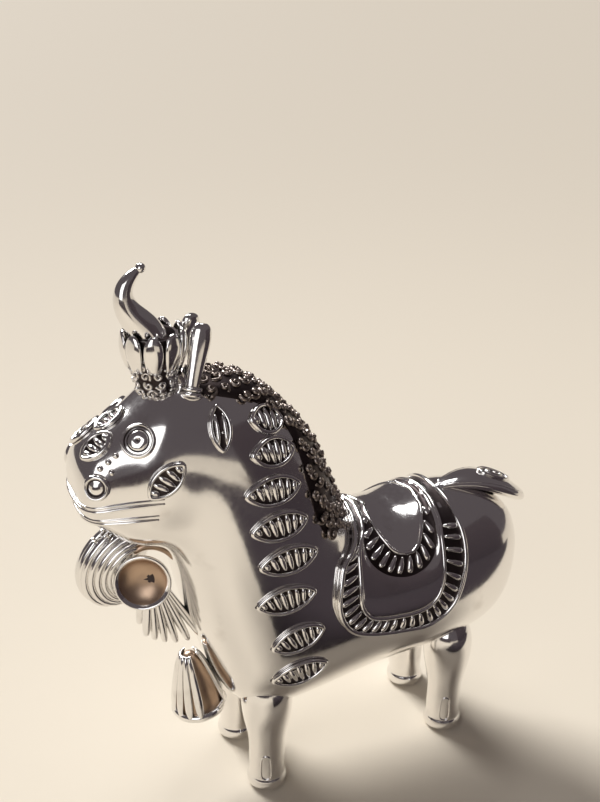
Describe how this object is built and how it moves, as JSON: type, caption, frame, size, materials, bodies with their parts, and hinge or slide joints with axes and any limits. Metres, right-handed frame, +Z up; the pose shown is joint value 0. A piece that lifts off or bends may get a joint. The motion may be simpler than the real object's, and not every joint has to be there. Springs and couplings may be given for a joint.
{
  "type": "pucara bull figure",
  "caption": "Standing silver-coloured bull figure with petalled horn cup, ribbed leaves in relief, curly mane, saddle cloth, folded tail and chest flower; rests on flat feet.",
  "frame": {"origin": "middle of the bounding box footprint, on the plane of the four soles", "axes": "+Z up from the soles, the bull faces -X, its left side is -Y"},
  "size_m": [0.1153, 0.039, 0.1312],
  "materials": {
    "silver": "polished",
    "oxidised": "satin"
  },
  "bodies": {
    "root": {"bead_row_left": "silver", "bead_row_right": "silver", "body_shell_left": "silver", "body_shell_right": "silver", "border_cord": "silver", "border_ribs_left": "silver", "border_ribs_right": "silver", "cheek_leaf_left": "silver", "cheek_leaf_right": "silver", "dewlap_bell": "silver", "dewlap_fall": "silver", "dewlap_ribbon": "silver", "ear_left": "silver", "ear_right": "silver", "eye_ring_left": "silver", "eye_ring_right": "silver", "eyeball_left": "oxidised", "eyeball_right": "oxidised", "flower_dish_left": "silver", "flower_dish_right": "silver", "forehead_leaf": "silver", "horn": "silver", "horn_bulb": "silver", "horn_cup": "silver", "leg_front_left": "silver", "leg_front_right": "silver", "leg_rear_left": "silver", "leg_rear_right": "silver", "lip_lower": "silver", "lip_upper": "silver", "mane_curls_crest": "silver", "mane_curls_left": "silver", "mane_curls_right": "silver", "mane_ridge": "silver", "mane_tassel_left": "silver", "mane_tassel_right": "silver", "middle_cord": "silver", "neck_leaves_left": "silver", "neck_leaves_right": "silver", "nose_leaf_left": "silver", "nose_leaf_right": "silver", "nostril_disc_left": "silver", "nostril_disc_right": "silver", "nostril_ring_left": "silver", "nostril_ring_right": "silver", "saddle_cloth": "silver", "seat_cord": "silver", "seat_ribs_left": "silver", "seat_ribs_right": "silver", "side_lock_left": "silver", "side_lock_right": "silver", "tail": "silver", "tail_curl": "silver"}
  },
  "joints": []
}
